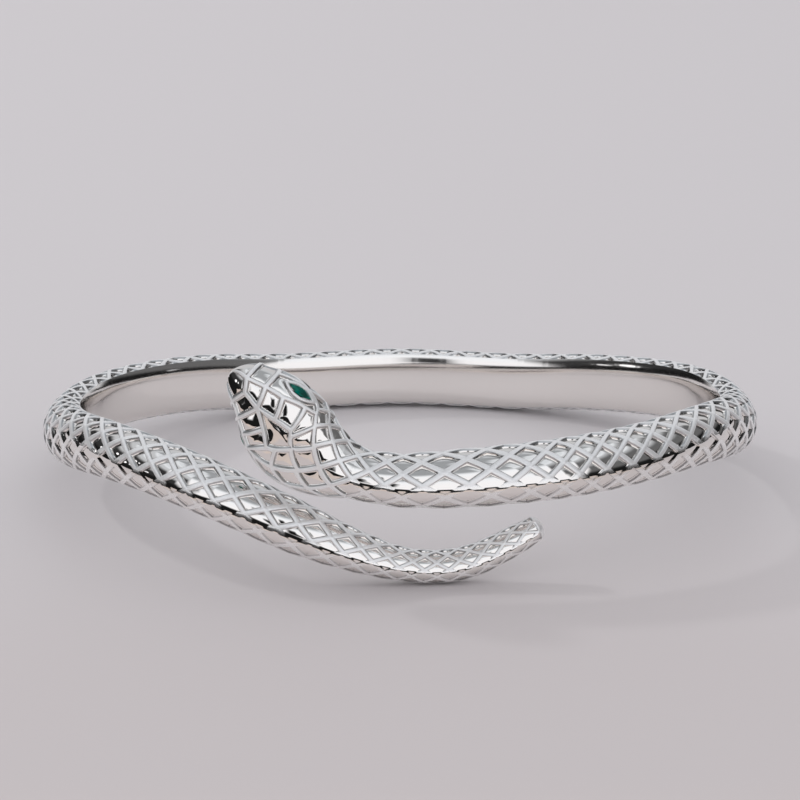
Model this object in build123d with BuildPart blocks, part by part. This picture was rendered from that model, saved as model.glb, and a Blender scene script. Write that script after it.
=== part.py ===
from build123d import *
import os
from collections import namedtuple
from math import atan2, cos, degrees, pi, radians, sin, sqrt

import numpy as np

# A rigid open bangle, cast as a snake: the tail lies low at the front, the ring goes once round,
# and the neck comes back above the tail and bends up into the head. Millimetres, +Z up, at rest.

# Ring
ring_half_width = 30.75      # centre line, left to right
ring_half_depth = 26.0       # centre line, front to back
front_lift = 9.65            # centre line of the neck above the table
ring_tilt = 9.0              # degrees that the ring leans back as it lies, with its front raised

# Body
body_half_height = 2.75
body_half_depth = 2.30       # from the centre line to the outermost strip
flat_share = 0.50            # from the centre line in to the inner face's edges, of the half depth
inner_bulge = 0.45           # the inner face is domed by this much towards the wrist
inner_line = 0.60            # its facets meet at this share of its half height
inner_ribs = 35              # facets along it, from the tail to the collar
bulge_run = 8.0              # length over which the dome runs out at either end
tail_cap_rings = 3
tail_round = 0.75            # length of the rounded tip beyond the last row of scales

# Net of raised strips over the scales
scale_pitch = 2.75           # length of a scale along the body
# Where each half row of scales lies round the section: degrees up from the outermost line,
# between the two edges of the flat inner face
row_angles = [-120, -101, -81, -59, -32, -5, 22, 49, 75, 98, 120]
half_rows = len(row_angles) // 2
strip_share = 0.13           # half a strip, as a share of a scale's side
wall_share = 0.04            # run of the slope beside a strip, as a share of a scale's side
relief = 0.28                # height of the strips above the scales
least_relief = 0.75          # share of that height which the thin tail keeps

# Head
head_half_width = 4.25
head_half_depth = 2.75
head_strip = 0.19            # half the width of a strip on the head
head_slope = 0.24            # run of the slope beside it
head_relief = 0.32
head_columns = 42            # faces across the outside of the head
head_rows = 34               # faces along it
snout_round = 0.16           # share of the head's length that the rounded snout takes

# The neck's net runs on over the back of the head, as far as a V with its point to the neck
nape_pitch = 0.20            # length of a scale there, as a share of the head's length
nape_narrowing = 0.22        # share by which its rows draw together
nape_length = 0.30           # share of the head's length over which they do

# Eyes, pointed at the front and the back
eye_length = 2.25
eye_width = 0.85
eye_gap = 0.08               # all round the stone
eye_rim = 0.22               # level ground round the stone
eye_crown = 0.22             # above the girdle
eye_girdle = 0.05
eye_pavilion = 0.36          # below the girdle
eye_table_share = 0.55
eye_point_share = 0.08       # size of the blunt lower point
eye_sides = 12
eye_sink = 0.12              # of the girdle below the strips

Stop = namedtuple("Stop", "turn lift height depth pitch")

# The centre line and the section, from the tail's tip to the collar behind the head. turn is the
# plan angle in degrees from +X; lift, height, depth and pitch are shares of front_lift,
# body_half_height, body_half_depth and scale_pitch.
body_stops = [
    Stop(292.6, 0.450, 0.42, 0.44, 0.76),
    Stop(289.5, 0.372, 0.48, 0.50, 0.76),
    Stop(286.0, 0.285, 0.50, 0.53, 0.76),
    Stop(282.0, 0.202, 0.53, 0.56, 0.76),
    Stop(277.0, 0.158, 0.54, 0.58, 0.76),
    Stop(270.0, 0.190, 0.56, 0.62, 0.80),
    Stop(262.2, 0.312, 0.70, 0.74, 0.95),
    Stop(252.3, 0.505, 0.87, 0.90, 1.12),
    Stop(244.3, 0.655, 0.90, 0.92, 1.05),
    Stop(233.0, 0.805, 0.93, 0.96, 0.95),
    Stop(222.0, 0.868, 0.94, 0.98, 0.94),
    Stop(212.0, 0.860, 0.96, 1.00, 0.95),
    Stop(198.0, 0.765, 0.98, 1.00, 0.98),
    Stop(180.0, 0.620, 1.00, 1.00, 1.00),
    Stop(155.0, 0.530, 1.00, 1.00, 1.00),
    Stop(128.7, 0.405, 1.00, 1.00, 1.00),
    Stop(112.0, 0.298, 1.00, 1.00, 1.00),
    Stop(90.0, 0.292, 1.00, 1.00, 1.00),
    Stop(68.0, 0.298, 1.00, 1.00, 1.00),
    Stop(51.3, 0.410, 1.00, 1.00, 1.00),
    Stop(22.0, 0.605, 1.00, 1.00, 1.00),
    Stop(0.0, 0.690, 1.00, 1.00, 1.00),
    Stop(-19.5, 0.895, 1.00, 1.00, 1.00),
    Stop(-31.0, 0.975, 0.98, 1.00, 1.00),
    Stop(-45.0, 1.000, 0.97, 1.00, 0.98),
    Stop(-62.0, 1.001, 0.98, 1.00, 0.95),
    Stop(-72.0, 0.999, 0.97, 1.00, 1.22),
    Stop(-82.0, 0.990, 0.94, 0.98, 1.42),
    Stop(-91.0, 0.992, 0.87, 0.96, 1.10),
    Stop(-97.5, 1.055, 0.88, 0.95, 0.95),
]
# The head, from the collar to the snout: height and depth are shares of head_half_width and
# head_half_depth.
head_stops = [
    Stop(-102.4, 1.155, 0.79, 0.84, 1.0),
    Stop(-105.7, 1.270, 0.94, 0.95, 1.0),
    Stop(-107.9, 1.388, 0.97, 1.00, 1.0),
    Stop(-109.8, 1.522, 0.93, 0.98, 1.0),
    Stop(-112.2, 1.658, 0.81, 0.90, 1.0),
    Stop(-114.9, 1.780, 0.61, 0.76, 1.0),
    Stop(-118.8, 1.900, 0.41, 0.55, 1.0),
]

edge_angle = degrees(atan2(sqrt(1 - flat_share**2), -flat_share))
row_angles = [a * edge_angle / row_angles[-1] for a in row_angles]
ring_axis = np.array([0, sin(radians(ring_tilt)), cos(radians(ring_tilt))])


def unit(v):
    return v / np.linalg.norm(v, axis=-1, keepdims=True)


def through(knots, values, x):
    """A smooth curve through the values, with each slope taken from the two neighbours."""
    knots, values, x = (np.asarray(q, float) for q in (knots, values, x))
    slope = np.gradient(values, knots)
    i = np.clip(np.searchsorted(knots, x) - 1, 0, len(knots) - 2)
    h = knots[i + 1] - knots[i]
    s = (x - knots[i]) / h
    return (
        (2 * s**3 - 3 * s**2 + 1) * values[i]
        + (s**3 - 2 * s**2 + s) * h * slope[i]
        + (3 * s**2 - 2 * s**3) * values[i + 1]
        + (s**3 - s**2) * h * slope[i + 1]
    )


# Real sizes at every stop, and the length along the centre line as the common parameter
stops = [
    (radians(s.turn), s.lift * front_lift, s.height * body_half_height,
     s.depth * body_half_depth, s.pitch * scale_pitch)
    for s in body_stops
] + [
    (radians(s.turn), s.lift * front_lift, s.height * head_half_width,
     s.depth * head_half_depth, s.pitch * scale_pitch)
    for s in head_stops
]
turn_at, lift_at, height_at, depth_at, pitch_at = np.array(stops).T


def on_ring(turn, lift):
    return np.stack([ring_half_width * np.cos(turn), ring_half_depth * np.sin(turn), lift], -1)


chords = np.linalg.norm(np.diff(on_ring(turn_at, lift_at), axis=0), axis=1)
knots = np.concatenate([[0], np.cumsum(chords)])
collar = knots[len(body_stops) - 1]
snout = knots[-1]


def centre(s):
    return on_ring(through(knots, turn_at, s), through(knots, lift_at, s))


def frame(s):
    """Centre, direction of travel, outward and upward directions at a length along the line."""
    step = 0.02
    along = unit(centre(s + step) - centre(s - step))
    out = unit(np.cross(ring_axis, along))
    return centre(s), along, out, np.cross(along, out)


def surface(s, angle, sink=0.0, shrink=1.0):
    """A point of the outside, angle degrees up from the section's outermost line; sink is the
    depth below the strips, and shrink makes the section smaller."""
    s, angle = np.broadcast_arrays(np.asarray(s, float), np.asarray(angle, float))
    middle, along, out, up = frame(s)
    a = np.radians(angle)
    height = through(knots, height_at, s) * shrink
    depth = through(knots, depth_at, s) * shrink
    x, y = depth * np.cos(a), height * np.sin(a)
    nx, ny = height * np.cos(a), depth * np.sin(a)
    n = np.sqrt(nx**2 + ny**2)
    x, y = x - sink * nx / n, y - sink * ny / n
    return middle + out * x[..., None] + up * y[..., None]


class Mesh:
    """Corners and three-cornered faces of a closed skin; equal corners are stored once."""

    def __init__(self):
        self.points, self.faces, self.index = [], [], {}

    def corner(self, key, make):
        if key not in self.index:
            self.index[key] = len(self.points)
            self.points.append(make())
        return self.index[key]

    def fan(self, *corners):
        for a, b in zip(corners[1:], corners[2:]):
            if len({corners[0], a, b}) == 3:
                self.faces.append((corners[0], a, b))

    def solid(self, shift):
        spots = [Vector(*(round(float(c), 5) for c in p + shift)) for p in self.points]
        skin = Shell([Face(Wire.make_polygon([spots[i] for i in f], close=True)) for f in self.faces])
        return Solid(skin)


# Length along the line where each scale starts, with a whole number of scales up to the collar
fine = np.linspace(0, collar, 4001)
count = np.concatenate([[0], np.cumsum(np.diff(fine) / through(knots, pitch_at, fine[1:]))])
scales = round(count[-1])


def along_scales(u):
    return float(np.interp(u * count[-1] / scales, count, fine))


def across_scales(v):
    return float(np.interp(2 * v, range(-half_rows, half_rows + 1), row_angles))


skin = Mesh()
reach = half_rows / 2


def net(u, v, deep=False):
    """The corner of the net at u scales along the body and v scales across it."""

    def make():
        s = along_scales(u)
        share = max(least_relief, through(knots, height_at, s) / body_half_height)
        return surface(s, across_scales(v), relief * share * deep)

    return skin.corner(("net", round(2 * u, 4), round(2 * v, 4), deep), make)


def pocket(rim, floor):
    """A scale: its sunk floor, and a slope up to the strip along each side."""
    for i in range(len(rim)):
        j = (i + 1) % len(rim)
        skin.fan(floor[i], rim[i], rim[j], floor[j])
    skin.fan(*floor)


def scale(u, v):
    """A whole scale, split along the body so that the section stays round."""
    h, w = 0.5 - strip_share, 0.5 - strip_share - wall_share
    rim = [net(u - h, v), net(u, v + h), net(u + h, v), net(u, v - h)]
    floor = [net(u - w, v, True), net(u, v + w, True), net(u + w, v, True), net(u, v - w, True)]
    pocket(rim, floor)


def edge_scale(u, v):
    """Half a scale, beside the edge of the flat inner face."""
    side = 1 if v > 0 else -1
    h, w = 0.5 - strip_share, 0.5 - strip_share - 2 * wall_share
    rim = [net(u - h, v), net(u + h, v), net(u, v - side * h)]
    low = v - side * wall_share
    floor = [net(u - w, low, True), net(u + w, low, True), net(u, v - side * w, True)]
    if side < 0:
        rim, floor = rim[::-1], floor[::-1]
    pocket(rim, floor)


def body_net():
    """The net over the outside of the body: crossings, strips between them, and scales."""
    for column in range(2 * scales + 1):
        u = column / 2
        first, last = column == 0, column == 2 * scales
        for row in range(-half_rows, half_rows + 1):
            v = row / 2
            low, high = row == -half_rows, row == half_rows
            crossing = (row + column) % 2 == 0
            h = strip_share if crossing else 0.5 - strip_share
            below, above = net(u, v - h * (not low)), net(u, v + h * (not high))
            if first:
                skin.fan(below, above, net(u + h, v))
            elif last:
                skin.fan(above, below, net(u - h, v))
            elif not crossing:
                edge_scale(u, v) if low or high else scale(u, v)
            else:
                left, right = net(u - h, v), net(u + h, v)
                if not high:
                    skin.fan(left, above, right)
                if not low:
                    skin.fan(left, right, below)
            if crossing and not last and not high:
                skin.fan(above, net(u + 0.5 - h, v + 0.5), net(u + 0.5, v + 0.5 - h), net(u + h, v))
            if crossing and not last and not low:
                skin.fan(below, net(u + h, v), net(u + 0.5, v - 0.5 + h), net(u + 0.5 - h, v - 0.5))


# Where the strips of the net meet an end ring, from the lower edge to the upper one
ring = sorted({-reach, reach} | {
    row / 2 + side * strip_share for row in range(1 - half_rows, half_rows, 2) for side in (-1, 1)
})


def join(first, second):
    """The band between two lines of corners, each a list of (place along it, corner)."""
    i = j = 0
    while i + 1 < len(first) or j + 1 < len(second):
        ahead = i + 1 < len(first)
        if ahead and (j + 1 == len(second) or first[i + 1][0] <= second[j + 1][0]):
            skin.fan(first[i][1], first[i + 1][1], second[j][1])
            i += 1
        else:
            skin.fan(first[i][1], second[j + 1][1], second[j][1])
            j += 1


def lining(u, side):
    """A corner of the domed inner face, above (side 1) or below (side -1) its middle."""

    def make():
        s = along_scales(u)
        upper, lower = surface(s, edge_angle), surface(s, -edge_angle)
        bulge = inner_bulge * (1 - inner_line**4) * min(1, s / bulge_run, (collar - s) / bulge_run)
        return (upper + lower) / 2 + side * inner_line * (upper - lower) / 2 - frame(s)[2] * bulge

    return skin.corner(("lining", u, side), make)


def inner_face():
    """The domed face inside the ring, between the two edges of the net."""
    edge = [0.0] + [
        column / 2 + side * strip_share for column in range(1, 2 * scales, 2) for side in (-1, 1)
    ] + [float(scales)]
    ribs = [scales * k / inner_ribs for k in range(inner_ribs + 1)]
    upper, lower = [[(u, net(u, side * reach)) for u in edge] for side in (1, -1)]
    high, low = [[(u, lining(u, side)) for u in ribs] for side in (1, -1)]
    join(high, upper)
    join(low, high)
    join(lower, low)


def tail_cap():
    """The rounded tip of the tail."""
    outer = [(across_scales(v), net(0, v)) for v in ring]
    inner_edge = [lining(0, -1), lining(0, 1)]
    for k in range(1, tail_cap_rings + 1):
        a = pi / 2 * k / tail_cap_rings
        s, size = -tail_round * sin(a), cos(a)

        def place(angle):
            if k == tail_cap_rings:
                return skin.corner("tail", lambda: centre(np.array(s)))
            return skin.corner(("tail", k, angle), lambda: surface(s, angle, 0, size))

        inner = [(angle, place(angle)) for angle, _ in outer]
        join(inner, outer)
        skin.fan(inner[-1][1], inner[0][1], outer[0][1], *inner_edge, outer[-1][1])
        outer, inner_edge = inner, []


Place = namedtuple("Place", "share right left")

# Places on the head where its strips meet: share of the length from the collar to the snout, and
# degrees up from the section's outermost line on the snake's right and left. The head is turned a
# little about its length, so the two sides differ.
places = {
    "tip": Place(0.96, 36, -50),
    "nose": Place(0.872, 26, -42),
    "nose_edge": Place(0.872, 120, -120),
    "snout": Place(0.83, -2, -2),
    "crown": Place(0.712, -6, -6),
    "shield_middle": Place(0.594, 1, -20),
    "shield_side": Place(0.49, 8, -32),
    "shield_low": Place(0.455, 4, -23),
    "shield_back": Place(0.396, -7, -7),
    "nape": Place(0.282, 16, -25),
    "cheek_low": Place(0.39, 38, -52),
    "temple_1": Place(0.765, 30, -54),
    "temple_2": Place(0.658, 32, -62),
    "temple_3": Place(0.55, 43, -72),
    "temple_4": Place(0.475, 50, -82),
    "brow_1": Place(0.77, 72, -100),
    "brow_2": Place(0.63, 80, -112),
    "brow_3": Place(0.54, 76, -108),
    "jaw_1": Place(0.79, 120, -120),
    "jaw_2": Place(0.70, 120, -120),
}
strips = [
    ("snout", "crown"), ("crown", "shield_side"), ("shield_side", "shield_back"),
    ("shield_back", "nape"), ("shield_low", "cheek_low"), ("snout", "nose"), ("nose", "tip"),
    ("nose", "nose_edge"), ("nose", "temple_1"), ("temple_1", "temple_2"),
    ("temple_2", "temple_3"), ("temple_3", "temple_4"), ("crown", "temple_1"),
    ("shield_middle", "temple_2"), ("shield_side", "temple_3"), ("temple_1", "brow_1"),
    ("brow_1", "brow_2"), ("brow_2", "brow_3"), ("brow_1", "jaw_1"), ("brow_2", "jaw_2"),
]
eye = Place(0.622, 59, -98)

head_length = snout - collar
middle_angle = across_scales(0)


def along_head(share):
    return collar + share * head_length


def marquise(along, across, margin=0.0):
    """Below 1 inside the outline of an eye stone that is made larger by the margin."""
    half_length, half_width = eye_length / 2 + 1.6 * margin, eye_width / 2 + margin
    return np.abs(across) / half_width + (along / half_length) ** 2


def eye_frame(side):
    """Middle of a stone's girdle, and its directions along, across and out of the head."""
    s, angle = along_head(eye.share), eye.right if side > 0 else eye.left
    middle = surface(s, angle, eye_sink)
    along = unit(surface(s + 0.3, angle) - surface(s - 0.3, angle))
    out = unit(np.cross(surface(s, angle + 3) - surface(s, angle - 3), along))
    return middle, along, np.cross(out, along), out


def from_strips(share, angle):
    """Distance in millimetres to the nearest strip of the head on the same side."""
    s = along_head(share)
    size = (through(knots, height_at, s) + through(knots, depth_at, s)) / 2
    right = angle > middle_angle
    nearest = np.full(np.shape(share), 9.0)
    for start, end in strips:
        start, end = places[start], places[end]
        from_angle, to_angle = np.where(right, start.right, start.left), np.where(right, end.right, end.left)
        px, py = (share - start.share) * head_length, np.radians(angle - from_angle) * size
        dx, dy = (end.share - start.share) * head_length, np.radians(to_angle - from_angle) * size
        part = np.clip((px * dx + py * dy) / (dx**2 + dy**2), 0, 1)
        nearest = np.minimum(nearest, np.hypot(px - part * dx, py - part * dy))
    return nearest


def nape_net(share, angle):
    """Distance to the nearest strip of the neck's net, and how far ahead of the V the place is,
    both as shares of a scale's side."""
    narrow = 1 - nape_narrowing * np.clip(share / nape_length, 0, 1)
    step = (row_angles[-1] - row_angles[-2]) / narrow
    wide = middle_angle + (angle - middle_angle) / narrow
    v = np.interp(wide, row_angles, np.arange(-half_rows, half_rows + 1) / 2)
    v = v + np.clip(wide - row_angles[-1], 0, None) / step / 2
    v = v + np.clip(wide - row_angles[0], None, 0) / step / 2
    u = share / nape_pitch
    gap = np.minimum(np.abs(u + v - np.round(u + v)), np.abs(u - v - np.round(u - v)))
    return gap, u - np.abs(v) - 1


def head_sink(share, angle):
    """Depth below the strips: none on a strip, round the eyes and at the edges of the flat inner
    face, with slopes beside them."""
    gap, ahead = nape_net(share, angle)
    side = nape_pitch * head_length / 2
    near = np.minimum(gap * (ahead < 0) + 9 * (ahead >= 0), np.abs(ahead)) - strip_share
    near = np.minimum(near * side * 2, from_strips(share, angle) + 9 * (ahead < 0) - head_strip)
    size = through(knots, height_at, along_head(share))
    near = np.minimum(near, np.radians(edge_angle - np.abs(angle)) * size)
    spot = surface(along_head(share), angle)
    for side in (1, -1):
        middle, along, across, out = eye_frame(side)
        offset = spot - middle
        facing = offset @ out > -head_half_depth / 2
        rim = marquise(offset @ along, offset @ across, eye_gap + eye_rim) - 1
        near = np.minimum(near, np.where(facing, rim * eye_width / 2, 9))
    return head_relief * np.clip(near / head_slope, 0, 1)


def head():
    """The head, from the collar to the rounded snout."""
    columns = np.linspace(-edge_angle, edge_angle, head_columns + 1)
    rows = np.linspace(0, 1, head_rows + 1)[1:-1]
    share, angle = np.meshgrid(rows, columns, indexing="ij")
    size = np.sqrt(1 - np.clip((share - 1) / snout_round + 1, 0, None) ** 2)
    sink = head_sink(share, angle) * size
    spots = surface(along_head(share), angle, sink, size)
    grid = [
        [skin.corner(("head", i, j), lambda: spots[i, j]) for j in range(head_columns + 1)]
        for i in range(len(rows))
    ]
    collar_ring = [(across_scales(v), net(scales, v)) for v in ring]
    inner_edge = [lining(scales, 1), lining(scales, -1)]
    join(collar_ring, list(zip(columns, grid[0])))
    skin.fan(grid[0][0], grid[0][-1], collar_ring[-1][1], *inner_edge, collar_ring[0][1])
    for i in range(len(rows) - 1):
        for j in range(head_columns):
            a, b, c, d = grid[i][j], grid[i][j + 1], grid[i + 1][j + 1], grid[i + 1][j]
            if abs(sink[i, j] - sink[i + 1, j + 1]) < abs(sink[i, j + 1] - sink[i + 1, j]):
                skin.fan(a, b, c, d)
            else:
                skin.fan(b, c, d, a)
        skin.fan(grid[i][-1], grid[i][0], grid[i + 1][0], grid[i + 1][-1])
    tip = skin.corner("snout", lambda: centre(np.array(snout)))
    for a, b in zip(grid[-1], grid[-1][1:] + grid[-1][:1]):
        skin.fan(a, b, tip)


def stone_outline(share=1.0, margin=0.0):
    """The pointed outline of an eye stone, with the same number of sides above and below."""
    n = eye_sides // 2
    steps = [2 * k / n - 1 for k in range(n + 1)]
    length = share * eye_length / 2 + 1.6 * margin
    width = share * eye_width / 2 + margin
    upper = [(length * x, width * (1 - x**2)) for x in steps]
    lower = [(length * x, -width * (1 - x**2)) for x in steps[-2:0:-1]]
    return lower[::-1] + upper[::-1]


def cut_stone(place):
    """Blunt point, girdle and table, with flat facets between them."""
    levels = (
        (-eye_pavilion, eye_point_share), (0, 1), (eye_girdle, 1),
        (eye_girdle + eye_crown, eye_table_share),
    )
    sections = []
    for level, share in levels:
        with BuildSketch(place.offset(level)) as section:
            Polygon(*stone_outline(share), align=None)
        sections.append(section.sketch)
    loft(sections, ruled=True)


def socket(place):
    """The recess of a stone, with a flat floor."""
    floor = -eye_pavilion - eye_gap
    with BuildSketch(place.offset(floor)) as outline:
        Polygon(*stone_outline(margin=eye_gap), align=None)
    extrude(outline.sketch, amount=head_half_depth / 2 - floor, mode=Mode.SUBTRACT, clean=False)


body_net()
inner_face()
tail_cap()
head()

# The origin is on the table, under the middle of the box round the whole bangle
corners = np.array(skin.points)
low, high = corners.min(axis=0), corners.max(axis=0)
shift = np.array([-(low[0] + high[0]) / 2, -(low[1] + high[1]) / 2, -low[2]])


def eye_plane(side):
    middle, along, across, out = eye_frame(side)
    return Plane(origin=tuple(middle + shift), x_dir=tuple(along), z_dir=tuple(out))


with BuildPart() as snake_bangle:
    add(skin.solid(shift), clean=False)
    socket(eye_plane(1))
    socket(eye_plane(-1))

with BuildPart() as eye_stone_right:
    cut_stone(eye_plane(1))

with BuildPart() as eye_stone_left:
    cut_stone(eye_plane(-1))

snake_bangle.part.label = "snake_bangle"
eye_stone_right.part.label = "eye_stone_right"
eye_stone_left.part.label = "eye_stone_left"

os.makedirs("parts", exist_ok=True)
for piece in (snake_bangle, eye_stone_right, eye_stone_left):
    export_step(piece.part, "parts/" + piece.part.label + ".step", write_pcurves=False)
    box = piece.part.bounding_box()
    print(piece.part.label, round(piece.part.volume, 3), box.size, len(piece.part.faces()), "faces")
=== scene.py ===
import math

import bpy
import numpy as np
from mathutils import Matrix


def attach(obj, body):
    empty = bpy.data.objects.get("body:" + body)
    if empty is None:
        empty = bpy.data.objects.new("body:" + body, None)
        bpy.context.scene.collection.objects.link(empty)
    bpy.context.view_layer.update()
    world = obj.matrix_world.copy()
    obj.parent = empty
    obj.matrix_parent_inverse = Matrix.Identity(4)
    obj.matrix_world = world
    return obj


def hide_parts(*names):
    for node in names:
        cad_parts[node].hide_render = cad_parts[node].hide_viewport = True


# A silver bangle cast as a snake, with green eyes. The casting is one skin: its diamond net is
# worked out on lines that run along the strips, and the head on a fine grid.

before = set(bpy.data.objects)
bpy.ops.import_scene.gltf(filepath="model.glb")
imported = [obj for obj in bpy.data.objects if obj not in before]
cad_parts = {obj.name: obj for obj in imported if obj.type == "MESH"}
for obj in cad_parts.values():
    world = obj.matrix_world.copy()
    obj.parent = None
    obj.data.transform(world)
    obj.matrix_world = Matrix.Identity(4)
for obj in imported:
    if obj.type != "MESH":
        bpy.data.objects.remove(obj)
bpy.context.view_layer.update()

tiny = 1e-6                                                # what is nearer than this is the same
far = 9.0                                                  # farther than any strip is from a place

# sizes in millimetres, angles in degrees
ring = {
    "halfWidth": 30.75, "halfDepth": 26.0, "lift": 9.65, "lean": 9.0,
    "bodyHeight": 2.75, "bodyDepth": 2.30, "headHeight": 4.25, "headDepth": 2.75,
    "flatShare": 0.50, "scaleLength": 2.75, "shift": (-0.0011, -0.0451, 0.0089),
    "step": 0.02,                                          # for directions along the centre line
}

# the centre line from the tail's tip to the collar, and from there to the snout
bodyLine = {
    "turn": [292.6, 289.5, 286, 282, 277, 270, 262.2, 252.3, 244.3, 233, 222, 212, 198, 180, 155,
             128.7, 112, 90, 68, 51.3, 22, 0, -19.5, -31, -45, -62, -72, -82, -91, -97.5],
    "lift": [.450, .372, .285, .202, .158, .190, .312, .505, .655, .805, .868, .860, .765, .620,
             .530, .405, .298, .292, .298, .410, .605, .690, .895, .975, 1, 1.001, .999, .990,
             .992, 1.055],
    "height": [.42, .48, .50, .53, .54, .56, .70, .87, .90, .93, .94, .96, .98, 1, 1, 1, 1, 1, 1,
               1, 1, 1, 1, .98, .97, .98, .97, .94, .87, .88],
    "depth": [.44, .50, .53, .56, .58, .62, .74, .90, .92, .96, .98, 1, 1, 1, 1, 1, 1, 1, 1, 1, 1,
              1, 1, 1, 1, 1, 1, .98, .96, .95],
    "length": [.76, .76, .76, .76, .76, .80, .95, 1.12, 1.05, .95, .94, .95, .98, 1, 1, 1, 1, 1,
               1, 1, 1, 1, 1, 1, .98, .95, 1.22, 1.42, 1.10, .95],
}
headLine = {
    "turn": [-102.4, -105.7, -107.9, -109.8, -112.2, -114.9, -118.8],
    "lift": [1.155, 1.270, 1.388, 1.522, 1.658, 1.780, 1.900],
    "height": [.79, .94, .97, .93, .81, .61, .41],
    "depth": [.84, .95, 1, .98, .90, .76, .55],
}


# the same direction, with length 1
def unit(v):
    return v / np.linalg.norm(v, axis=-1, keepdims=True)


# cubic pieces through the values, each slope taken from the two neighbours
def through(knots, values, x):
    slope = np.gradient(values, knots)
    i = np.clip(np.searchsorted(knots, x) - 1, 0, len(knots) - 2)
    h = knots[i + 1] - knots[i]
    s = (x - knots[i]) / h
    return ((2 * s**3 - 3 * s**2 + 1) * values[i] + (s**3 - 2 * s**2 + s) * h * slope[i]
            + (3 * s**2 - 2 * s**3) * values[i + 1] + (s**3 - s**2) * h * slope[i + 1])


# the tables in millimetres and radians, one value for each knot of the centre line
turnAt = np.radians(bodyLine["turn"] + headLine["turn"])
liftAt = np.array(bodyLine["lift"] + headLine["lift"]) * ring["lift"]
heightAt = np.concatenate([np.array(bodyLine["height"]) * ring["bodyHeight"],
                           np.array(headLine["height"]) * ring["headHeight"]])
depthAt = np.concatenate([np.array(bodyLine["depth"]) * ring["bodyDepth"],
                          np.array(headLine["depth"]) * ring["headDepth"]])
lengthAt = np.array(bodyLine["length"] + [1.0] * len(headLine["turn"])) * ring["scaleLength"]


# an oval in plan, half width * cos(turn) by half depth * sin(turn), and lifted off the floor
def onRing(turn, lift):
    return np.stack([ring["halfWidth"] * np.cos(turn), ring["halfDepth"] * np.sin(turn), lift], -1)


knots = np.concatenate([[0], np.cumsum(
    np.linalg.norm(np.diff(onRing(turnAt, liftAt), axis=0), axis=1))])
collar, snout = knots[len(bodyLine["turn"]) - 1], knots[-1]
headLength = snout - collar
lean = np.array([0, math.sin(math.radians(ring["lean"])), math.cos(math.radians(ring["lean"]))])
edgeAngle = math.degrees(math.atan2(math.sqrt(1 - ring["flatShare"] ** 2), -ring["flatShare"]))


# the turns and lifts of the tables, with cubic pieces between their knots, set on the oval
def centreLine(s):
    return onRing(through(knots, turnAt, s), through(knots, liftAt, s))


# directions at a place of the centre line: along it, out of the ring, and up across both
def directions(s):
    along = unit(centreLine(s + ring["step"]) - centreLine(s - ring["step"]))
    out = unit(np.cross(lean, along))
    return along, out, np.cross(along, out)


# the section is an oval across the line: depth * cos outwards and height * sin upwards, moved in
# along its own normal by the sink
def outside(s, angle, sink=0.0, size=1.0):
    s, angle = np.broadcast_arrays(np.asarray(s, float), np.asarray(angle, float))
    along, out, up = directions(s)
    a = np.radians(angle)
    height, depth = through(knots, heightAt, s) * size, through(knots, depthAt, s) * size
    nx, ny = height * np.cos(a), depth * np.sin(a)
    n = np.maximum(np.hypot(nx, ny), tiny)
    x, y = depth * np.cos(a) - sink * nx / n, height * np.sin(a) - sink * ny / n
    return centreLine(s) + out * x[..., None] + up * y[..., None]


# the casting's flank is fuller below than the oval's, so the skin is shaded as if it were rolled up
# a little about the centre line: degrees times cos(angle), at the front of the ring, and on the
# head's left cheek
flank = {
    "roll": 18, "frontFrom": 0.40, "frontTo": 0.76,        # how squarely a place faces the front
    "cheekRoll": 20, "cheek": (-120, -100, -26, -10),      # it grows and fades between these angles
    "cheekRun": 0.25,                                      # share of the head where it takes over
}


# the roll in degrees, on the body and past the collar on the head
def rollOf(s, angle):
    front = -np.sin(through(knots, turnAt, s))
    front = np.clip((front - flank["frontFrom"]) / (flank["frontTo"] - flank["frontFrom"]), 0, 1)
    onBody = flank["roll"] * front * np.clip(np.cos(np.radians(angle)), 0, 1)
    onHead = flank["cheekRoll"] * np.interp(angle, flank["cheek"], [0, 1, 1, 0])
    share = np.clip((s - collar) / (flank["cheekRun"] * headLength), 0, 1)
    return onBody * (1 - share) + onHead * share


# the net over the body: distances are shares of a scale's side
net = {
    "rows": [-120, -101, -81, -59, -32, -5, 22, 49, 75, 98, 120],
    "lines": [0, .09, .125, .165, .5, .835, .875, .91],    # lines of the skin across one scale
    "profileAt": [0, .09, .125, .165, .5],                 # from the middle of a strip
    "profile": [0, .02, .18, 1, .83],                      # share of the relief below the strip
    "foot": .165,                                          # the walls of a scale end here
    "relief": 0.28, "leastRelief": 0.75,
    "edgeSlope": 1.2,                                      # the relief runs out at the inner edges
    "tailRound": 0.75, "tailRings": 8,
    "step": 0.02,                                          # for directions along the strips
    "samples": 4001,                                       # places where the scales are counted
    # shading: degrees that a scale falls off at its foot, and a strip at its sides
    "dome": 8, "round": 13,
    # the front is worn along the line where it faces up by lineAt. Its polish and its softer relief
    # fade between these degrees off that line, above it to none and below it to these shares
    "lineAt": 11, "buffed": (2, 9), "calm": (7, 16), "buffedBelow": 0.3, "calmBelow": 0.8,
    "front": (.15, .45),                                   # how squarely it faces the front there
    "middle": 1.01,                                        # a strip's top, in halves of its width
    "flat": (0.25, 0.95),                                  # floors lie below the first, tops above
}
rowAngles = np.array(net["rows"]) * edgeAngle / net["rows"][-1]
reach = (len(rowAngles) - 1) / 4

# scales are counted along the line, each as long as its table says; the last ends at the collar
fine = np.linspace(0, collar, net["samples"])
count = np.concatenate([[0], np.cumsum(np.diff(fine) / through(knots, lengthAt, fine[1:]))])
scales = round(count[-1])
middleAngle = rowAngles[len(rowAngles) // 2]


# from a number of scales to millimetres along the line, and to degrees across it
def alongScales(u):
    return np.interp(u * count[-1] / scales, count, fine)


def acrossScales(v):
    return np.interp(2 * v, np.arange(len(rowAngles)) - len(rowAngles) // 2, rowAngles)


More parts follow.
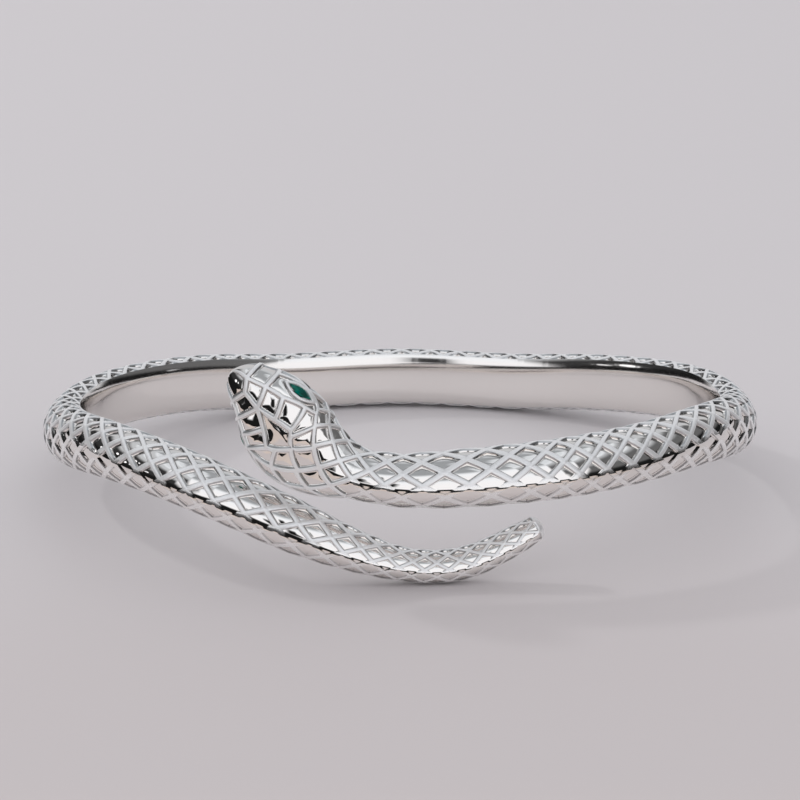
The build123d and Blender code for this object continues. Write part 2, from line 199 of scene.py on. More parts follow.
# the head's strips: places are (share of the head's length, degrees on the right, on the left)
headNet = {
    "places": {
        "tip": (.96, 36, -50), "nose": (.872, 26, -42), "noseEdge": (.872, 120, -120),
        "snout": (.83, -2, -2), "crown": (.712, -6, -6), "shieldMiddle": (.594, 1, -20),
        "shieldSide": (.49, 8, -32), "shieldLow": (.455, 4, -23), "shieldBack": (.396, -7, -7),
        "nape": (.282, 16, -25), "cheek": (.39, 38, -52), "templeFront": (.765, 30, -54),
        "templeMiddle": (.658, 32, -62), "templeBack": (.55, 43, -72), "templeEnd": (.475, 50, -82),
        "browFront": (.77, 72, -100), "browMiddle": (.63, 80, -112), "browBack": (.54, 76, -108),
        "jawFront": (.79, 120, -120), "jawBack": (.70, 120, -120),
    },
    "strips": [
        ("snout", "crown"), ("crown", "shieldSide"), ("shieldSide", "shieldBack"),
        ("shieldBack", "nape"), ("shieldLow", "cheek"), ("snout", "nose"), ("nose", "tip"),
        ("nose", "noseEdge"), ("nose", "templeFront"), ("templeFront", "templeMiddle"),
        ("templeMiddle", "templeBack"), ("templeBack", "templeEnd"), ("crown", "templeFront"),
        ("shieldMiddle", "templeMiddle"), ("shieldSide", "templeBack"),
        ("templeFront", "browFront"), ("browFront", "browMiddle"), ("browMiddle", "browBack"),
        ("browFront", "jawFront"), ("browMiddle", "jawBack"),
    ],
    "halfStrip": 0.12, "slope": 0.10, "relief": 0.32, "dome": 0.20, "domeRun": 0.35,
    "napeLength": 0.20, "napeNarrowing": 0.22, "napeReach": 0.30, "napeStrip": 0.085,
    "napeSide": 0.7,                                       # a scale's side, in shares of its length
    "wallAt": [0, .35, 1], "wall": [0, .14, 1],            # the wall of a strip: place and depth
    "columns": 224, "rows": 196, "crowding": 0.97,         # rows are a little closer at the snout
    "snoutRound": 0.16, "reliefRun": 0.3,                  # the net's relief grows to the head's
}
eyes = {
    "share": 0.622, "right": 59, "left": -98, "length": 2.25, "width": 0.85,
    "gap": 0.08, "rim": 0.22, "sink": 0.12, "deep": 0.44,
    "ends": 1.6,                                           # a margin is wider at the pointed ends
    "within": 1.4,                                         # skin farther below isn't the eye's
    "alongStep": 0.3, "acrossStep": 3,                     # for the directions at the eye
}


# below 1 inside a pointed oval: |across| / half width + (along / half length) squared
def pointedOval(along, across, margin):
    return (np.abs(across) / (eyes["width"] / 2 + margin)
            + (along / (eyes["length"] / 2 + eyes["ends"] * margin)) ** 2)


# an eye's middle, and directions along it, across it and out of the head
def eyeFrame(angle):
    s = collar + eyes["share"] * headLength
    middle = outside(s, angle, eyes["sink"])
    step, turn = eyes["alongStep"], eyes["acrossStep"]
    along = unit(outside(s + step, angle) - outside(s - step, angle))
    out = unit(np.cross(outside(s, angle + turn) - outside(s, angle - turn), along))
    return middle, along, np.cross(out, along), out


# the distance in millimetres to the nearest strip, each a straight run between two places
def fromStrips(share, angle):
    s = collar + share * headLength
    size = (through(knots, heightAt, s) + through(knots, depthAt, s)) / 2
    right = angle > middleAngle
    nearest = np.full(share.shape, far)
    for startName, endName in headNet["strips"]:
        start, end = headNet["places"][startName], headNet["places"][endName]
        a0, a1 = np.where(right, start[1], start[2]), np.where(right, end[1], end[2])
        px, py = (share - start[0]) * headLength, np.radians(angle - a0) * size
        dx, dy = (end[0] - start[0]) * headLength, np.radians(a1 - a0) * size
        part = np.clip((px * dx + py * dy) / (dx**2 + dy**2), 0, 1)
        nearest = np.minimum(nearest, np.hypot(px - part * dx, py - part * dy))
    return nearest


# the neck's net runs on over the head behind a V: how far a place is from its nearest strip, and
# how far ahead of the V, as shares of a scale's side
def napeNet(share, angle):
    narrow = 1 - headNet["napeNarrowing"] * np.clip(share / headNet["napeReach"], 0, 1)
    step = (rowAngles[-1] - rowAngles[-2]) / narrow
    wide = middleAngle + (angle - middleAngle) / narrow
    v = np.interp(wide, rowAngles, (np.arange(len(rowAngles)) - len(rowAngles) // 2) / 2)
    v = v + np.clip(wide - rowAngles[-1], 0, None) / step / 2
    v = v + np.clip(wide - rowAngles[0], None, 0) / step / 2
    u = share / headNet["napeLength"]
    gap = np.minimum(np.abs(u + v - np.round(u + v)), np.abs(u - v - np.round(u - v)))
    return gap, u - np.abs(v) - 1


# how far below the strips: 0 on them and 1 at the foot of a wall, from where the floor of a scale
# comes up again by dome * (1 - exp(-distance / run))
def headDepth(share, angle, spot):
    gap, ahead = napeNet(share, angle)
    side = headNet["napeSide"] * headNet["napeLength"] * headLength
    near = np.minimum(np.where(ahead < 0, gap, far), np.abs(ahead)) - headNet["napeStrip"]
    toStrip = np.where(ahead < 0, far, fromStrips(share, angle) - headNet["halfStrip"])
    near = np.minimum(near * side, toStrip)
    size = through(knots, heightAt, collar + share * headLength)
    near = np.minimum(near, np.radians(edgeAngle - np.abs(angle)) * size)
    for angleOfEye in (eyes["right"], eyes["left"]):
        middle, along, across, out = eyeFrame(angleOfEye)
        offset = spot - middle
        rim = pointedOval(offset @ along, offset @ across, eyes["gap"] + eyes["rim"]) - 1
        onEye = offset @ out > -eyes["within"]
        near = np.minimum(near, np.where(onEye, rim * eyes["width"] / 2, far))
    fromFoot = np.clip(near - headNet["slope"], 0, far)
    dome = headNet["dome"] * (1 - np.exp(-fromFoot / headNet["domeRun"]))
    return np.interp(near / headNet["slope"], headNet["wallAt"], headNet["wall"]) - dome


# inside an eye's outline the skin drops to a level floor
def withSockets(spot):
    deep = np.zeros(spot.shape[:-1], bool)
    for angleOfEye in (eyes["right"], eyes["left"]):
        middle, along, across, out = eyeFrame(angleOfEye)
        offset = spot - middle
        inside = pointedOval(offset @ along, offset @ across, eyes["gap"]) < 1
        inside &= offset @ out > -eyes["within"]
        drop = np.where(inside, offset @ out + eyes["deep"], 0)
        spot = spot - drop[..., None] * out
        deep |= inside
    return spot, deep


# corners of the body: p and q count scales along the two slanting families of strips, so
# u = (p + q) / 2 runs along the body and v = (p - q) / 2 across it
def bodySkin():
    whole = np.arange(-math.ceil(reach), scales + math.ceil(reach) + 1)
    lines = (whole[:, None] + np.array(net["lines"])).ravel()
    p, q = np.meshgrid(lines, lines, indexing="ij")
    u, v = (p + q) / 2, (p - q) / 2
    inside = (np.abs(v) < reach + tiny) & (u > -tiny) & (u < scales + tiny)
    number = np.cumsum(inside.ravel()).reshape(inside.shape) - 1
    p, q, u, v = p[inside], q[inside], u[inside], v[inside]
    fromStrip = np.minimum(np.abs(p - np.round(p)), np.abs(q - np.round(q)))
    foot = np.abs(fromStrip - net["foot"]) < tiny
    fromStrip = np.minimum(fromStrip, net["profileAt"][1] + (reach - np.abs(v)) * net["edgeSlope"])
    below = np.interp(fromStrip, net["profileAt"], net["profile"])
    s = alongScales(u)
    share = np.maximum(net["leastRelief"], through(knots, heightAt, s) / ring["bodyHeight"])
    spots = outside(s, acrossScales(v), below * share * net["relief"])

    # the way that the skin faces: that of the section's oval, and on a scale or a strip turned
    # outwards from its middle, in proportion to the distance
    step = net["step"]
    alongP, alongQ = [
        outside(alongScales(u + step), acrossScales(v + side))
        - outside(alongScales(u - step), acrossScales(v - side))
        for side in (step, -step)
    ]
    level = unit(np.cross(alongP, alongQ))
    facing, onTop = level, level
    for own, other, place in ((alongP, alongQ, p), (alongQ, alongP, q)):
        other = unit(other)
        away = unit(own - (own * other).sum(-1, keepdims=True) * other)
        part = (place - np.floor(place) - 0.5) / (0.5 - net["foot"])
        facing = facing + (math.tan(math.radians(net["dome"])) * part)[:, None] * away
        part = (place - np.round(place)) / net["lines"][1]
        part = np.where(np.abs(part) < net["middle"], part, 0)
        onTop = onTop + (math.tan(math.radians(net["round"])) * part)[:, None] * away
    facing = np.where((fromStrip > net["foot"] - tiny)[:, None], unit(facing), unit(onTop))

    # how far the front is worn: a share of polish, and one of softer relief
    roll = directions(s)[0] * np.radians(rollOf(s, acrossScales(v)))[:, None]
    upwards = np.clip(unit(level + np.cross(roll, level))[:, 2], -1, 1)
    tilt = np.degrees(np.arcsin(upwards)) - net["lineAt"]
    atFront = np.interp(-np.sin(through(knots, turnAt, s)), net["front"], [0, 1])
    buffed, calm = [
        atFront * np.maximum(np.interp(np.abs(tilt), net[name], [1, 0]),
                             net[name + "Below"] * (tilt < 0))
        for name in ("buffed", "calm")
    ]

    # a quad where all four corners are inside, and a triangle where three are
    a, b, c, d = (number[:-1, :-1], number[1:, :-1], number[1:, 1:], number[:-1, 1:])
    hasA, hasB, hasC, hasD = (inside[:-1, :-1], inside[1:, :-1], inside[1:, 1:], inside[:-1, 1:])
    full = hasA & hasB & hasC & hasD
    quads = np.stack([a[full], b[full], c[full], d[full]], -1)
    triangles = [
        np.stack([first[keep], second[keep], third[keep]], -1)
        for first, second, third, keep in (
            (a, b, c, hasA & hasB & hasC & ~hasD), (a, c, d, hasA & hasC & hasD & ~hasB),
            (a, b, d, hasA & hasB & hasD & ~hasC), (b, c, d, hasB & hasC & hasD & ~hasA))
    ]
    shading = facing, level, calm, buffed, roll
    return spots, 1 - below, u, v, foot, shading, quads, np.concatenate(triangles)


# a band between two rows of corners with different spacing, joined where they are nearest
def band(firstAt, first, secondAt, second):
    target = np.searchsorted((firstAt[1:] + firstAt[:-1]) / 2, (secondAt[1:] + secondAt[:-1]) / 2)
    alongSecond = np.stack([first[target], second[1:], second[:-1]], -1)
    step = np.searchsorted(target, np.arange(len(first) - 1), side="right")
    alongFirst = np.stack([first[:-1], first[1:], second[step]], -1)
    return np.concatenate([alongSecond, alongFirst])


# numbers for the corners of a grid that comes after the corners so far
def numbersAfter(spots, grid):
    return len(spots) + np.arange(grid[..., 0].size).reshape(grid.shape[:2])


# the four corners of each cell of a grid
def gridQuads(numbers):
    around = [numbers[:-1, :-1], numbers[:-1, 1:], numbers[1:, 1:], numbers[1:, :-1]]
    return np.stack(around, -1).reshape(-1, 4)


# the inner face: between its edges it is domed towards the wrist by 1 - height to the fourth power,
# and the dome runs out at the tail and at the collar
inner = {
    "bulge": 0.45, "run": 8.0, "power": 4,
    "heights": [.93, .80, .60, .32, 0, -.32, -.60, -.80, -.93],
    "roll": 6,                                             # degrees that it is shaded as if rolled
    "crisp": slice(4, -14),                                # its edges are soft at the two ends
}


def innerSkin(s, upper, lower):
    t = np.array(inner["heights"])[:, None, None]
    fade = np.clip(np.minimum(s, collar - s) / inner["run"], 0, 1)
    bulge = inner["bulge"] * fade * (1 - t[..., 0] ** inner["power"])
    return (upper + lower) / 2 + t * (upper - lower) / 2 - directions(s)[1] * bulge[..., None]


# all corners and faces: the body's net, a tip, the head and the inner face, joined to one skin
def buildSnake():
    spots, strip, u, v, foot, shading, quads, triangles = bodySkin()
    order = np.arange(len(u))
    lower, upper, tailRing, collarRing = [
        order[onEdge][np.argsort(along[onEdge])] for onEdge, along in (
            (np.abs(v + reach) < tiny, u), (np.abs(v - reach) < tiny, u),
            (np.abs(u) < tiny, v), (np.abs(u - scales) < tiny, v))
    ]
    stations = alongScales(u[lower])

    # the tail's tip: rings that shrink as a quarter circle
    turn = np.radians(np.linspace(0, 90, net["tailRings"] + 1))[1:-1]
    tailStations = -net["tailRound"] * np.sin(turn)
    angles = acrossScales(v[tailRing])
    tail = outside(tailStations[:, None], angles[None], 0, np.cos(turn)[:, None])
    tailNumbers = numbersAfter(spots, tail)
    tailTip = len(spots) + tailNumbers.size
    spots = np.concatenate([spots, tail.reshape(-1, 3), centreLine(np.array([-net["tailRound"]]))])
    strip = np.concatenate([strip, np.ones(tailNumbers.size + 1)])
    tailGrid = gridQuads(np.concatenate([tailRing[None], tailNumbers]))[:, ::-1]

    # the head: a grid of shares and angles, rounded off at the snout
    columns = np.linspace(-edgeAngle, edgeAngle, headNet["columns"] + 1)
    rows = np.linspace(0, 1, headNet["rows"] + 1)[1:-1] ** headNet["crowding"]
    share, angle = np.meshgrid(rows, columns, indexing="ij")
    s = collar + share * headLength
    size = np.sqrt(1 - np.clip((share - 1) / headNet["snoutRound"] + 1, 0, None) ** 2)
    below = headDepth(share, angle, outside(s, angle))
    grow = np.clip(share / headNet["reliefRun"], 0, 1)
    collarRelief = net["relief"] * heightAt[len(bodyLine["turn"]) - 1] / ring["bodyHeight"]
    relief = collarRelief + (headNet["relief"] - collarRelief) * grow
    head = outside(s, angle, below * relief * size, size)
    head, deep = withSockets(head)
    headNumbers = numbersAfter(spots, head)
    headRoll = directions(s)[0] * np.radians(rollOf(s, angle))[..., None]
    snoutTip = len(spots) + headNumbers.size
    spots = np.concatenate([spots, head.reshape(-1, 3), centreLine(np.array([snout]))])
    strip = np.concatenate([strip, np.where(deep, 0, 1 - below).ravel(), [0.0]])
    collarBand = band(acrossScales(v[collarRing]), collarRing, columns, headNumbers[0])

    # the inner face, from the tail's tip to the snout
    upper = np.concatenate([tailNumbers[::-1, -1], upper, headNumbers[:, -1]])
    lower = np.concatenate([tailNumbers[::-1, 0], lower, headNumbers[:, 0]])
    stations = np.concatenate([tailStations[::-1], stations, collar + rows * headLength])
    hidden = innerSkin(stations, spots[upper], spots[lower])
    innerNumbers = numbersAfter(spots, hidden)
    spots = np.concatenate([spots, hidden.reshape(-1, 3)])
    strip = np.concatenate([strip, np.zeros(innerNumbers.size)])
    innerNumbers = np.concatenate([upper[None], innerNumbers, lower[None]])
    innerQuads = gridQuads(innerNumbers.T)
    stationOf = gridQuads((np.arange(len(stations))[None] + 0 * innerNumbers).T).ravel()
    innerRoll = directions(stations)[0][stationOf] * math.radians(inner["roll"])

    # fans of triangles close the two ends
    tailEnd = np.concatenate([tailNumbers[-1], innerNumbers[1:, 0]])
    headEnd = np.concatenate([headNumbers[-1], innerNumbers[1:, -1]])
    tailFan = np.stack([tailEnd[1:], tailEnd[:-1], np.full(len(tailEnd) - 1, tailTip)], -1)
    headFan = np.stack([headEnd[:-1], headEnd[1:], np.full(len(headEnd) - 1, snoutTip)], -1)

    # by how much each corner is shaded as if rolled, a vector along the centre line in radians
    rolls = np.zeros_like(spots)
    rolls[:len(u)] = shading[-1]
    rolls[headNumbers] = headRoll

    # edges that stay crisp join corners of the same kind: lower edge, upper edge, foot of a wall
    crisp = np.full(len(spots), -1)
    crisp[order[foot]] = 2
    crisp[lower[inner["crisp"]]], crisp[upper[inner["crisp"]]] = 0, 1
    quads = np.concatenate([quads, tailGrid, gridQuads(headNumbers)])
    triangles = np.concatenate([triangles, collarBand, tailFan, headFan])
    return spots, strip, shading, rolls, innerRoll, quads, triangles, innerQuads, crisp


# a mesh from its corners and from groups of faces, each group with one number of corners a face
def makeMesh(name, spots, faceGroups):
    mesh = bpy.data.meshes.new(name)
    sizes = np.concatenate([np.full(len(g), g.shape[1]) for g in faceGroups])
    corners = np.concatenate([g.ravel() for g in faceGroups]).astype(np.int32)
    mesh.vertices.add(len(spots))
    mesh.vertices.foreach_set("co", np.ascontiguousarray(spots, dtype=np.float32).ravel())
    mesh.loops.add(len(corners))
    mesh.loops.foreach_set("vertex_index", corners)
    mesh.polygons.add(len(sizes))
    starts = np.concatenate([[0], np.cumsum(sizes)[:-1]]).astype(np.int32)
    mesh.polygons.foreach_set("loop_start", starts)
    mesh.update(calc_edges=True)
    return mesh, corners


# the snake's object: the skin in metres, how high each corner stands in the relief, how worn it
# is, its crisp edges, and the way that each corner is shaded
def makeSnake():
    spots, strip, shading, rolls, innerRoll, quads, triangles, innerQuads, crisp = buildSnake()
    facing, level, calm, buffed, _ = shading
    spots = (spots + np.array(ring["shift"])) / 1000
    mesh, corners = makeMesh("snake_casting", spots, [quads, triangles, innerQuads])
    mesh.polygons.foreach_set("use_smooth", np.ones(len(mesh.polygons), bool))
    onStrip = strip[corners].astype(np.float32)
    onStrip[-innerQuads.size:] = -1
    mesh.attributes.new("strip", "FLOAT", "CORNER").data.foreach_set("value", onStrip)
    worn = np.zeros(len(spots), np.float32)
    worn[:len(buffed)] = buffed
    mesh.attributes.new("buffed", "FLOAT", "POINT").data.foreach_set("value", worn)
    ends = np.zeros(len(mesh.edges) * 2, np.int32)
    mesh.edges.foreach_get("vertices", ends)
    first, second = crisp[ends[::2]], crisp[ends[1::2]]
    isSharp = (first >= 0) & (first == second)
    mesh.attributes.new("sharp_edge", "BOOLEAN", "EDGE").data.foreach_set("value", isSharp)

    # on the body, floors and tops of strips are shaded by the way worked out for them, and walls as
    # they are; where the front is worn, all of it comes nearer to the plain oval
    normals = np.zeros(len(corners) * 3, np.float32)
    mesh.corner_normals.foreach_get("vector", normals)
    normals = normals.reshape(-1, 3)
    owner = np.repeat(np.arange(len(mesh.polygons)), np.concatenate([
        np.full(len(group), group.shape[1]) for group in (quads, triangles, innerQuads)]))
    onBody = corners < len(facing)
    highest = np.full(len(mesh.polygons), -1.0)
    lowest = np.full(len(mesh.polygons), 2.0)
    np.maximum.at(highest, owner, strip[corners])
    np.minimum.at(lowest, owner, strip[corners])
    plain = onBody & ((highest[owner] < net["flat"][0]) | (lowest[owner] > net["flat"][1]))
    plain[-innerQuads.size:] = False
    normals[plain] = facing[corners[plain]]
    onBody[-innerQuads.size:] = False
    share = calm[corners[onBody]][:, None]
    normals[onBody] = unit(normals[onBody] * (1 - share) + level[corners[onBody]] * share)
    outer = len(corners) - innerQuads.size
    turned = np.concatenate([rolls[corners[:outer]], innerRoll])
    normals = unit(normals + np.cross(turned, normals)).astype(np.float32)
    mesh.normals_split_custom_set(normals)
    snake = bpy.data.objects.new("snake_casting", mesh)
    bpy.context.scene.collection.objects.link(snake)
    triangleCount = 2 * (len(quads) + len(innerQuads)) + len(triangles)
    print("snake skin:", len(spots), "corners,", triangleCount, "triangles")
    return snake


class Socket:
    # wraps a socket, so that sums and products of sockets are written as plain expressions
    def __init__(self, shader, plug):
        self.shader, self.plug = shader, plug

    def math(self, kind, *others):
        return self.shader.node("ShaderNodeMath", {"operation": kind}, {
            i: value for i, value in enumerate((self,) + others)}).out(0)

    def __add__(self, other):
        return self.math("ADD", other)

    def __sub__(self, other):
        return self.math("SUBTRACT", other)

    def __mul__(self, other):
        return self.math("MULTIPLY", other)

    def __truediv__(self, other):
        return self.math("DIVIDE", other)

    def __radd__(self, other):
        return self.math("ADD", other)

    def __rmul__(self, other):
        return self.math("MULTIPLY", other)

    def __rsub__(self, other):
        return self.shader.value(other).math("SUBTRACT", self)

    # smooth ramp from 0 at low to 1 at high
    def ramp(self, low, high):
        return self.shader.node("ShaderNodeMapRange", {"interpolation_type": "SMOOTHSTEP"}, {
            "Value": self, "From Min": low, "From Max": high}).out("Result")


class Node:
    # wraps a node, so that its outputs come as wrapped sockets
    def __init__(self, shader, node):
        self.shader, self.node = shader, node

    def out(self, name):
        return Socket(self.shader, self.node.outputs[name])


class Shader:
    # the nodes of a material or of the world
    def __init__(self, owner):
        owner.use_nodes = True
        self.tree = owner.node_tree
        self.tree.nodes.clear()

    # one node: its type, its settings, then the values or links of its sockets
    def node(self, kind, settings=None, sockets=None):
        node = self.tree.nodes.new(kind)
        for name, value in (settings or {}).items():
            setattr(node, name, value)
        for name, value in (sockets or {}).items():
            if isinstance(value, Socket):
                self.tree.links.new(value.plug, node.inputs[name])
            else:
                node.inputs[name].default_value = value
        return Node(self, node)

    # a plain number as a socket
    def value(self, number):
        return self.node("ShaderNodeMath", {"operation": "ADD"}, {0: number, 1: 0.0}).out(0)

    # from the first colour to the second, as the factor goes from 0 to 1
    def mixColour(self, factor, first, second):
        mix = self.node("ShaderNodeMix", {"data_type": "RGBA"})
        for name, value in (("Factor_Float", factor), ("A_Color", first), ("B_Color", second)):
            plug = next(s for s in mix.node.inputs if s.identifier == name)
            if isinstance(value, Socket):
                self.tree.links.new(value.plug, plug)
            else:
                plug.default_value = value
        return Socket(self, next(s for s in mix.node.outputs if s.identifier == "Result_Color"))


# a material with its shader and its output
def newMaterial(name):
    material = bpy.data.materials.new(name)
    shader = Shader(material)
    output = shader.node("ShaderNodeOutputMaterial")
    return material, shader, output


# joins a surface to the output
def finish(shader, output, surface):
    shader.tree.links.new(surface.plug, output.node.inputs["Surface"])


silverFinish = {
    "floorColour": (0.955, 0.92, 0.885, 1), "stripColour": (0.94, 0.94, 0.94, 1),
    # the walls' darker colour is painted shade in the recesses between the scales
    "paintedWallShade": (0.60, 0.60, 0.60, 1), "floorRoughness": 0.03, "stripRoughness": 0.38,
    "wallRoughness": 0.30, "innerRoughness": 0.12,
    "matt": 0.42,                                          # share of light that the satin scatters
    "polished": 0.3,                                       # worn by this, a strip is smooth
    "uneven": 0.10,                                        # the satin's roughness varies by this
    # where "strip" turns from one finish to the next: 1 on strips, 0 on floors, -1 inside
    "topFrom": (0.72, 0.98), "wallFrom": (0.18, 0.34), "liningFrom": (0.4, 0.6),
    "grain": 6500, "grainDetail": 2.0, "grainDepth": 0.0000012,
    "swell": 420, "swellDetail": 1.0, "swellDepth": 0.0000012,
}


# silver: floors of scales are mirror-bright, strips satin but worn smooth along the front, walls
# dull and darkened in colour as painted shade, and the inner face lightly brushed. Colour and
# roughness go from the floor's values to the others' by how high a place stands in the relief;
# satin = top * (1 - worn)
def silverMaterial():
    look = silverFinish
    material, shader, output = newMaterial("polished_silver")
    place = shader.node("ShaderNodeTexCoord").out("Object")
    strip = shader.node("ShaderNodeAttribute", {"attribute_name": "strip"}).out("Fac")
    worn = shader.node("ShaderNodeAttribute", {"attribute_name": "buffed"}).out("Fac")
    top = strip.ramp(*look["topFrom"])
    wall = strip.ramp(*look["wallFrom"]) * (1 - top) * (1 - worn)
    lining = (0.0 - strip).ramp(*look["liningFrom"])
    satin = top * (1 - worn)
    grain = shader.node("ShaderNodeTexNoise", None, {
        "Vector": place, "Scale": look["grain"], "Detail": look["grainDetail"]}).out("Fac")
    swell = shader.node("ShaderNodeTexNoise", None, {
        "Vector": place, "Scale": look["swell"], "Detail": look["swellDetail"]}).out("Fac")
    colour = shader.mixColour(satin, look["floorColour"], look["stripColour"])
    # the walls take a darker colour, painted shade in the scales' recesses, less of it where the
    # front is worn
    colour = shader.mixColour(wall, colour, look["paintedWallShade"])
    dull = satin * (1 - worn.ramp(0, look["polished"]))
    rough = look["floorRoughness"] + dull * (look["stripRoughness"] - look["floorRoughness"])
    rough = rough + wall * (look["wallRoughness"] - look["floorRoughness"])
    rough = rough + lining * (look["innerRoughness"] - look["floorRoughness"])
    rough = rough + dull * (grain - 0.5) * look["uneven"]
    height = grain * satin * look["grainDepth"] + swell * look["swellDepth"]
    bump = shader.node("ShaderNodeBump", None, {
        "Strength": 1.0, "Distance": 1.0, "Height": height}).out("Normal")
    silver = shader.node("ShaderNodeBsdfPrincipled", None, {
        "Base Color": colour, "Metallic": 1 - satin * look["matt"], "Roughness": rough,
        "Normal": bump})
    finish(shader, output, silver.out("BSDF"))
    return material


stoneFinish = {
    "deep": (0.0, 0.055, 0.042, 1), "light": (0.0, 0.19, 0.14, 1),
    "clouds": 1500, "cloudDetail": 3.0, "cloudsFrom": (0.35, 0.65),
    "roughness": 0.05, "bending": 1.5, "through": 0.15, "shine": 0.15,
}


# green stone: smooth and a little clear, clouded from the deep colour to the light one by noise
def stoneMaterial():
    look = stoneFinish
    material, shader, output = newMaterial("green_stone")
    place = shader.node("ShaderNodeTexCoord").out("Object")
    clouds = shader.node("ShaderNodeTexNoise", None, {
        "Vector": place, "Scale": look["clouds"], "Detail": look["cloudDetail"]}).out("Fac")
    colour = shader.mixColour(clouds.ramp(*look["cloudsFrom"]), look["deep"], look["light"])
    stone = shader.node("ShaderNodeBsdfPrincipled", None, {
        "Base Color": colour, "Roughness": look["roughness"], "IOR": look["bending"],
        "Transmission Weight": look["through"], "Specular IOR Level": look["shine"]})
    finish(shader, output, stone.out("BSDF"))
    return material


snake = makeSnake()
silver = silverMaterial()
snake.data.materials.append(silver)
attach(snake, "root")
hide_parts("snake_bangle")
green = stoneMaterial()
for name in ("eye_stone_right", "eye_stone_left"):
    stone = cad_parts[name]
    for slot in stone.material_slots:
        slot.material = green
print("pieces and finishes made")

# the floor, the light and the camera are stage only, and no part of the object
floorLook = {
    "size": 2.4, "pale": (0.605, 0.585, 0.60, 1), "warm": (0.56, 0.525, 0.53, 1),
    "beige": (0.66, 0.575, 0.52, 1), "roughness": 0.6,
    "warmFrom": (-0.01, 0.055), "beigeFrom": (0.068, 0.115),   # metres towards the camera
    "clouds": 14.0, "cloudShare": 0.2,
}


# floor: pale under the object, warmer in front of it and beige beyond the picture, which the
# silver's lower half reflects; noise makes the first change uneven
def makeFloor():
    look = floorLook
    half = look["size"] / 2
    corners = [(-half, -half, 0), (half, -half, 0), (half, half, 0), (-half, half, 0)]
    mesh = bpy.data.meshes.new("floor")
    mesh.from_pydata(corners, [], [(0, 1, 2, 3)])
    floor = bpy.data.objects.new("floor", mesh)
    bpy.context.scene.collection.objects.link(floor)
    material, shader, output = newMaterial("pale_floor")
    place = shader.node("ShaderNodeTexCoord").out("Object")
    apart = shader.node("ShaderNodeSeparateXYZ", None, {"Vector": place})
    ahead = 0.0 - apart.out("Y")
    cloud = shader.node("ShaderNodeTexNoise", None, {
        "Vector": place, "Scale": look["clouds"]}).out("Fac")
    warmth = ahead.ramp(*look["warmFrom"]) + (cloud - 0.5) * look["cloudShare"]
    colour = shader.mixColour(warmth, look["pale"], look["warm"])
    colour = shader.mixColour(ahead.ramp(*look["beigeFrom"]), colour, look["beige"])
    surface = shader.node("ShaderNodeBsdfPrincipled", None, {
        "Base Color": colour, "Roughness": look["roughness"]})
    finish(shader, output, surface.out("BSDF"))
    mesh.materials.append(material)


# the studio round the object, by direction: a pale tent with dark gaps between its cards. Angles
# are degrees of height above the floor and degrees round from the camera, + to the right
studio = {
    # strengths of light; reflections see all of it, the camera "plain" and scattered light "soft"
    "tent": 0.58, "overhead": 0.36, "card": 0.97, "dark": 0.010, "plain": 0.556, "soft": 0.95,
    "lowTint": (0.99, 1.0, 1.04, 1), "highTint": (0.93, 0.99, 1.06, 1), "tintFrom": (20, 70),
    "plainTint": (0.995, 0.975, 0.99, 1),
    "overheadFrom": (56, 68),
    "cardRound": (48, 56), "cardTop": (48, 64),            # the front card ends between these
    # a side: its middle, half width, dark light, and the heights between which it turns to the tent
    "sides": [(-98, 41, 0.035, 32, 50), (92, 40, 0.13, 38, 60)],
    "sideEdge": 4, "sideCardFrom": (54, 64), "sideCardTo": (72, 86),
    # a gap: its middle, half width, and the heights from which and up to which it is dark
    "gaps": [(-98, 41, 0, 15), (92, 40, 0, 15), (-9, 7, 17, 39)],
    "gapEdge": 3, "gapFoot": 2, "gapHead": 6,
    # a window: degrees round, height, half size, and strength
    "windows": [(-92, 19, 5, 1.3), (-79, 20, 3, 1.0), (86, 12, 2, 0.7)],
    "windowEdge": (0.6, 1.2),
    # the dark line over the floor: its height, and what it gains from these angles to the left
    "horizon": 4.2, "leftGain": 3.5, "leftFrom": (5, 40),
    "frontGain": 12.0, "frontFrom": (-14, 9), "frontTo": (-75, -35),
    "lineEdge": (0.75, 1.05), "lineEnds": (138, 150),
}


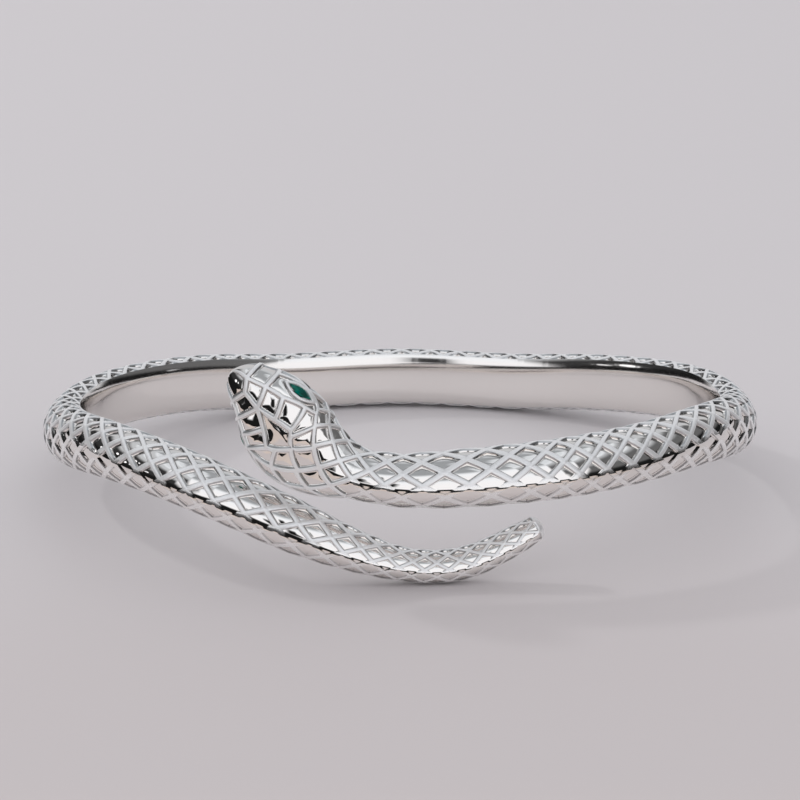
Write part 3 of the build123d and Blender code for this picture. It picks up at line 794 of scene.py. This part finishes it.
def makeStudio():
    look = studio
    world = bpy.data.worlds.new("studio")
    bpy.context.scene.world = world
    shader = Shader(world)
    way = shader.node("ShaderNodeTexCoord").out("Generated")
    apart = shader.node("ShaderNodeSeparateXYZ", None, {"Vector": way})
    x, y, z = apart.out("X"), apart.out("Y"), apart.out("Z")
    height = z.math("ARCSINE") * (180 / math.pi)
    around = x.math("ARCTAN2", 0.0 - y) * (180 / math.pi)
    off = around.math("ABSOLUTE")

    # the tent, the cards at the front and over the sides, and the sides' dark parts
    lift = look["card"] - look["tent"]
    light = shader.value(look["tent"])
    light = light + height.ramp(*look["overheadFrom"]) * (look["overhead"] - look["tent"])
    front = (1 - off.ramp(*look["cardRound"])) * (1 - height.ramp(*look["cardTop"]))
    light = light + front * lift
    for middle, half, dusk, low, high in look["sides"]:
        beside = (around - middle).math("ABSOLUTE")
        side = 1 - beside.ramp(half - look["sideEdge"], half + look["sideEdge"])
        card = height.ramp(*look["sideCardFrom"]) * (1 - height.ramp(*look["sideCardTo"]))
        light = light + side * card * lift
        side = side * (1 - height.ramp(low, high))
        light = light * (1 - side) + side * dusk

    # the dark line over the floor is thin to the right and grows to the left
    line = look["horizon"] + look["leftGain"] * (1 - around.ramp(*look["leftFrom"]))
    line = line + (look["frontGain"] * (1 - around.ramp(*look["frontFrom"]))
                   * around.ramp(*look["frontTo"]))
    gaps = (1 - (height / line).ramp(*look["lineEdge"])) * (1 - off.ramp(*look["lineEnds"]))
    for middle, half, low, high in look["gaps"]:
        beside = (around - middle).math("ABSOLUTE")
        gap = 1 - beside.ramp(half - look["gapEdge"], half + look["gapEdge"])
        gap = gap * height.ramp(low - look["gapFoot"], low + look["gapFoot"])
        gap = gap * (1 - height.ramp(high - look["gapHead"], high + look["gapHead"]))
        gaps = gaps.math("MAXIMUM", gap)
    light = light * (1 - gaps) + gaps * look["dark"]
    for middle, level, half, strength in look["windows"]:
        beside = (around - middle) * (around - middle) + (height - level) * (height - level)
        shape = 1 - (beside / (half * half)).ramp(*look["windowEdge"])
        light = light + shape * strength

    # what is not a reflection sees an even backdrop
    path = shader.node("ShaderNodeLightPath")
    seen, diffuse = path.out("Is Camera Ray"), path.out("Is Diffuse Ray")
    light = light * (1 - seen) + seen * look["plain"]
    light = light * (1 - diffuse) + diffuse * look["soft"]
    tint = shader.mixColour(height.ramp(*look["tintFrom"]), look["lowTint"], look["highTint"])
    tint = shader.mixColour(seen + diffuse, tint, look["plainTint"])
    back = shader.node("ShaderNodeBackground", None, {"Color": tint, "Strength": light})
    output = shader.node("ShaderNodeOutputWorld")
    finish(shader, output, back.out("Background"))


# a small lamp above and behind on the left, which throws the shadows to the front right
lamps = {"key": {"from": (-0.55, 0.34, 0.44), "size": 0.07, "power": 0.85}}


# turns a lamp or camera at start towards the target
def aim(thing, start, target):
    away = np.array(start) - np.array(target)
    flat = math.hypot(away[0], away[1])
    thing.location = start
    thing.rotation_euler = (math.atan2(flat, away[2]), 0, math.atan2(away[0], -away[1]))


def makeLamps():
    for name, lamp in lamps.items():
        data = bpy.data.lights.new(name, "AREA")
        data.shape, data.size, data.energy = "DISK", lamp["size"], lamp["power"]
        thing = bpy.data.objects.new(name, data)
        bpy.context.scene.collection.objects.link(thing)
        thing.visible_glossy = False  # the cards of the studio are what the silver reflects
        aim(thing, lamp["from"], (0, 0, 0))


# the camera stands this many degrees above the floor, as the photograph's did
view = {
    "height": 17.6, "distance": 0.420, "target": (0, 0, 0.0086), "lens": 204.1, "sensor": 36,
    "nearest": 0.01, "farthest": 20,
}


def makeCamera():
    data = bpy.data.cameras.new("camera")
    data.lens, data.sensor_width = view["lens"], view["sensor"]
    data.clip_start, data.clip_end = view["nearest"], view["farthest"]
    camera = bpy.data.objects.new("camera", data)
    bpy.context.scene.collection.objects.link(camera)
    tilt = math.radians(view["height"])
    back, up = view["distance"] * math.cos(tilt), view["distance"] * math.sin(tilt)
    aim(camera, (0, -back, view["target"][2] + up), view["target"])
    bpy.context.scene.camera = camera


makeFloor()
makeStudio()
makeLamps()
makeCamera()
bpy.context.scene.view_settings.view_transform = "Standard"
print("floor, studio and camera made")
